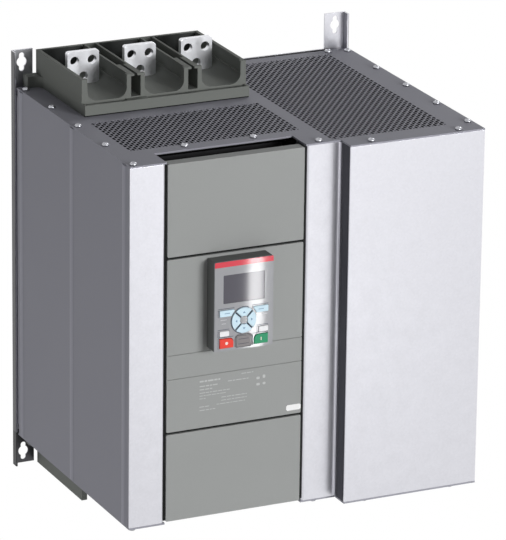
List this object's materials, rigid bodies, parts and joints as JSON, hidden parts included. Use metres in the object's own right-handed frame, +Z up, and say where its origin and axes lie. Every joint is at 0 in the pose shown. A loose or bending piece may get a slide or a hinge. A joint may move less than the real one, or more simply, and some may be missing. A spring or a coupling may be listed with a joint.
{
  "type": "soft starter",
  "caption": "Wall-mounted soft starter: folded sheet cabinet with a perforated top, shrouded terminal bars above and below, clip-on grey covers and a pull-off keypad.",
  "frame": {"origin": "middle of the mounting plate's rear face, which lies on the wall", "axes": "+X to the right seen from the front, +Y into the wall, +Z up"},
  "size_m": [0.437, 0.372, 0.5446],
  "materials": {
    "grey_sheet": "satin",
    "zinc_sheet": "satin",
    "cover_plastic": "fine texture",
    "shroud_plastic": "fine texture",
    "dark_plastic": "fine texture",
    "tinned_copper": "bright",
    "bright_steel": "bright",
    "face_plastic": "satin",
    "window_plastic": "gloss",
    "red_band": "gloss",
    "blue_keys": "satin",
    "white_keys": "satin",
    "red_key": "satin",
    "green_key": "satin",
    "circuit_board": "satin",
    "terminal_green": "satin",
    "bare_aluminium": "extruded",
    "black_plastic": "fine texture",
    "copper": "bare"
  },
  "bodies": {
    "cabinet": {"back_plate": "zinc_sheet", "mounting_rails": "grey_sheet", "left_side_panel": "grey_sheet", "right_side_panel": "grey_sheet", "left_front_strip": "zinc_sheet", "right_front_strip": "zinc_sheet", "step_panel": "grey_sheet", "right_front_panel": "zinc_sheet", "top_plate": "grey_sheet", "bottom_plate": "grey_sheet", "top_rail": "grey_sheet", "case_screws": "bright_steel", "line_terminal_shroud": "shroud_plastic", "motor_terminal_shroud": "shroud_plastic", "front_frame": "dark_plastic", "upper_cover": "cover_plastic", "middle_panel": "cover_plastic", "lower_cover": "cover_plastic", "bypass_contactor": "black_plastic", "bypass_links": "copper", "control_board": "circuit_board", "control_terminals": "terminal_green", "line_bar_1": "tinned_copper", "motor_bar_1": "tinned_copper", "heat_sink_1": "bare_aluminium", "thyristor_module_1": "black_plastic", "current_transformer_1": "black_plastic", "fan_frame_1": "black_plastic", "line_bar_2": "tinned_copper", "motor_bar_2": "tinned_copper", "heat_sink_2": "bare_aluminium", "thyristor_module_2": "black_plastic", "current_transformer_2": "black_plastic", "fan_frame_2": "black_plastic", "line_bar_3": "tinned_copper", "motor_bar_3": "tinned_copper", "heat_sink_3": "bare_aluminium", "thyristor_module_3": "black_plastic", "current_transformer_3": "black_plastic", "fan_frame_3": "black_plastic"},
    "keypad": {"keypad_case": "dark_plastic", "keypad_face": "face_plastic", "display_window": "window_plastic", "colour_band": "red_band", "keypad_board": "circuit_board"},
    "left_soft_key": {"left_soft_key": "blue_keys"},
    "right_soft_key": {"right_soft_key": "blue_keys"},
    "up_key": {"up_key": "blue_keys"},
    "down_key": {"down_key": "blue_keys"},
    "left_key": {"left_key": "blue_keys"},
    "right_key": {"right_key": "blue_keys"},
    "help_key": {"help_key": "white_keys"},
    "local_key": {"local_key": "white_keys"},
    "stop_key": {"stop_key": "red_key"},
    "start_key": {"start_key": "green_key"},
    "service_flap": {"service_flap": "dark_plastic"},
    "fan_rotor_1": {"fan_rotor_1": "black_plastic"},
    "fan_rotor_2": {"fan_rotor_2": "black_plastic"},
    "fan_rotor_3": {"fan_rotor_3": "black_plastic"}
  },
  "joints": [
    {"name": "keypad_pull", "type": "slide", "parent": "cabinet", "child": "keypad", "axis": [0, -1, 0], "range_m": [0, 0.02]},
    {"name": "left_soft_key_press", "type": "slide", "parent": "keypad", "child": "left_soft_key", "axis": [0, 1, 0], "range_m": [0, 0.0008], "stiffness_N_per_m": 800},
    {"name": "right_soft_key_press", "type": "slide", "parent": "keypad", "child": "right_soft_key", "axis": [0, 1, 0], "range_m": [0, 0.0008], "stiffness_N_per_m": 800},
    {"name": "up_key_press", "type": "slide", "parent": "keypad", "child": "up_key", "axis": [0, 1, 0], "range_m": [0, 0.0008], "stiffness_N_per_m": 800},
    {"name": "down_key_press", "type": "slide", "parent": "keypad", "child": "down_key", "axis": [0, 1, 0], "range_m": [0, 0.0008], "stiffness_N_per_m": 800},
    {"name": "left_key_press", "type": "slide", "parent": "keypad", "child": "left_key", "axis": [0, 1, 0], "range_m": [0, 0.0008], "stiffness_N_per_m": 800},
    {"name": "right_key_press", "type": "slide", "parent": "keypad", "child": "right_key", "axis": [0, 1, 0], "range_m": [0, 0.0008], "stiffness_N_per_m": 800},
    {"name": "help_key_press", "type": "slide", "parent": "keypad", "child": "help_key", "axis": [0, 1, 0], "range_m": [0, 0.0008], "stiffness_N_per_m": 800},
    {"name": "local_key_press", "type": "slide", "parent": "keypad", "child": "local_key", "axis": [0, 1, 0], "range_m": [0, 0.0008], "stiffness_N_per_m": 800},
    {"name": "stop_key_press", "type": "slide", "parent": "keypad", "child": "stop_key", "axis": [0, 1, 0], "range_m": [0, 0.0008], "stiffness_N_per_m": 800},
    {"name": "start_key_press", "type": "slide", "parent": "keypad", "child": "start_key", "axis": [0, 1, 0], "range_m": [0, 0.0008], "stiffness_N_per_m": 800},
    {"name": "service_flap_hinge", "type": "hinge", "parent": "keypad", "child": "service_flap", "pos_m": [-0.0847, -0.368, 0.0062], "axis": [-1, 0, 0], "range_deg": [0, 95]},
    {"name": "fan_1_spin", "type": "hinge", "parent": "cabinet", "child": "fan_rotor_1", "pos_m": [-0.1328, -0.2115, -0.2], "axis": [0, 0, 1], "continuous": true},
    {"name": "fan_2_spin", "type": "hinge", "parent": "cabinet", "child": "fan_rotor_2", "pos_m": [-0.0388, -0.2115, -0.2], "axis": [0, 0, 1], "continuous": true},
    {"name": "fan_3_spin", "type": "hinge", "parent": "cabinet", "child": "fan_rotor_3", "pos_m": [0.1308, -0.2115, -0.2], "axis": [0, 0, 1], "continuous": true}
  ]
}
